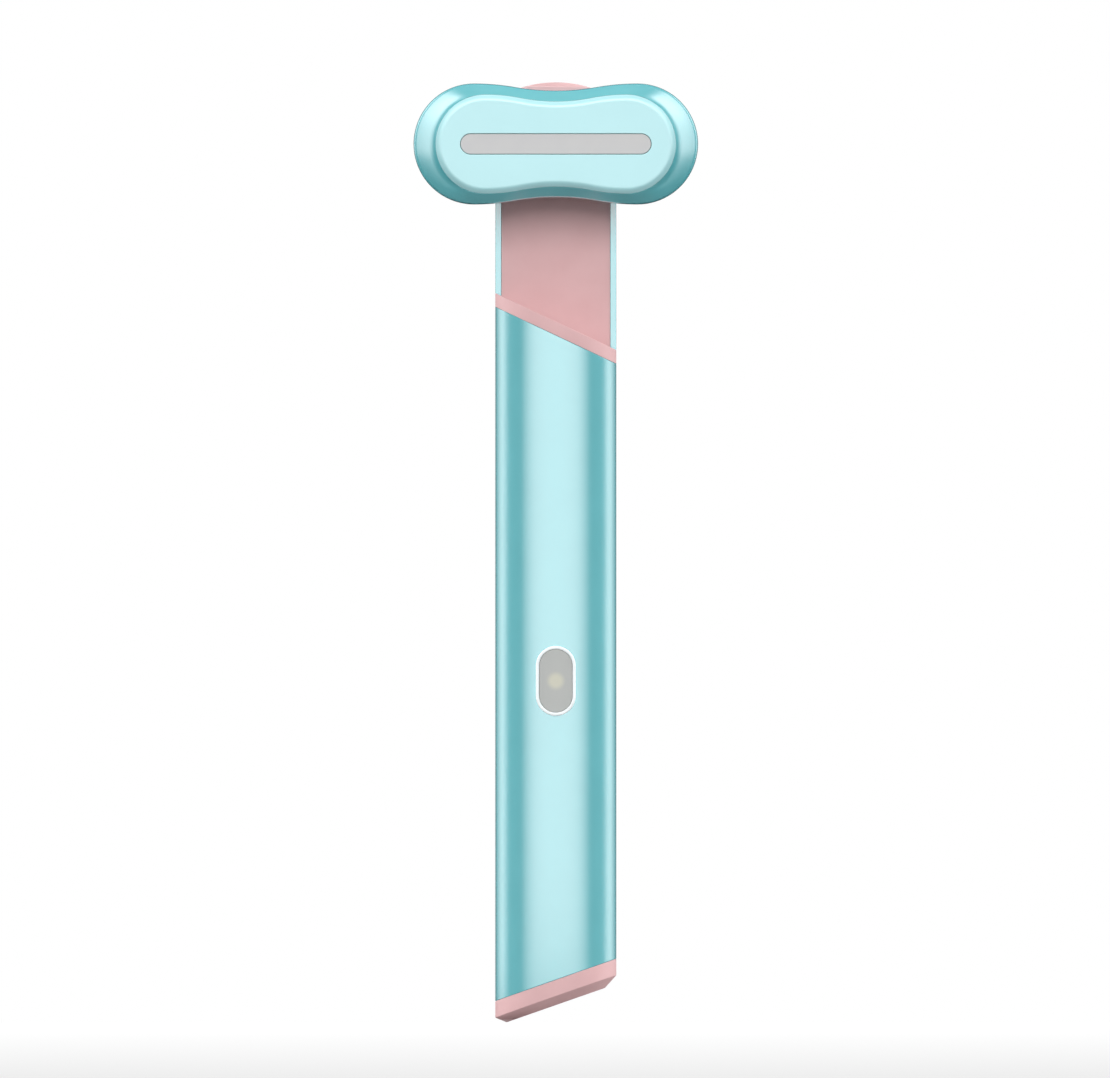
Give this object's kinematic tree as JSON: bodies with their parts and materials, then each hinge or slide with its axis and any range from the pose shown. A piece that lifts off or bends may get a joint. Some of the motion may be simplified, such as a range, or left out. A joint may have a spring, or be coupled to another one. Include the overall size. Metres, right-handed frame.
{
  "type": "heated eye massager wand",
  "caption": "Slim hand-held eye wand with a waisted heated light head that swivels on a half-round neck, a capsule button and a slanted end cap.",
  "frame": {"origin": "on the handle's axis, at the middle of the plain round length below the button that a holder or hand grips", "axes": "+Z along the wand towards the head, -Y the way the treatment face looks, +X to the right of someone facing it"},
  "size_m": [0.0494, 0.0231, 0.1631],
  "materials": {
    "teal_paint": "gloss metallic",
    "pink_plastic": "matte",
    "plate_cyan": "satin",
    "window_grey": "frosted",
    "ring_white": "gloss",
    "button_grey": "frosted",
    "tray_white": "matte",
    "board_green": "solder mask",
    "black_plastic": "matte",
    "cream_plastic": "satin",
    "steel": "satin",
    "nickel": "polished",
    "brass": "machined",
    "battery_wrap": "satin wrap",
    "foam": "foam",
    "film_amber": "gloss",
    "led_yellow": "gloss",
    "wire_red": "satin",
    "wire_black": "satin",
    "wire_grey": "satin"
  },
  "bodies": {
    "handle": {"battery_cell": "battery_wrap", "battery_connector": "cream_plastic", "battery_foam": "foam", "battery_lead_negative": "wire_black", "battery_lead_positive": "wire_red", "board_chips": "black_plastic", "board_screws": "steel", "body_tube": "teal_paint", "button_ring": "ring_white", "charge_socket": "nickel", "chassis": "tray_white", "collar": "pink_plastic", "end_cap": "pink_plastic", "handle_harness": "wire_grey", "harness_connector": "cream_plastic", "indicator_led": "led_yellow", "main_board": "board_green", "neck_plate": "pink_plastic", "neck_screws": "steel", "socket_tongue": "black_plastic", "stop_pin": "steel", "swivel_bush": "brass", "tact_switch": "black_plastic", "top_cap": "pink_plastic", "wave_washer": "steel"},
    "head": {"swivel_shaft": "steel", "shaft_screws": "steel", "retaining_clip": "steel", "head_back": "teal_paint", "head_bezel": "teal_paint", "bezel_screws": "steel", "face_plate": "plate_cyan", "led_window": "window_grey", "heating_film": "film_amber", "thermistor": "black_plastic", "led_board": "board_green", "head_leds": "led_yellow", "vibration_motor": "steel", "motor_foam": "foam", "head_harness": "wire_grey", "motor_leads": "wire_red"},
    "button": {"power_button": "button_grey", "switch_plunger": "black_plastic"},
    "rotor": {"eccentric_weight": "brass"}
  },
  "joints": [
    {"name": "head_swivel", "type": "hinge", "parent": "handle", "child": "head", "pos_m": [0, 0, 0.1204], "axis": [0, -1, 0], "range_deg": [-90, 90]},
    {"name": "button_press", "type": "slide", "parent": "handle", "child": "button", "axis": [0, 1, 0], "range_m": [0, 0.0004], "stiffness_N_per_m": 1500, "springref_m": -0.0005},
    {"name": "motor_spin", "type": "hinge", "parent": "head", "child": "rotor", "pos_m": [0, -0.00525, 0.1204], "axis": [1, 0, 0], "continuous": true}
  ]
}
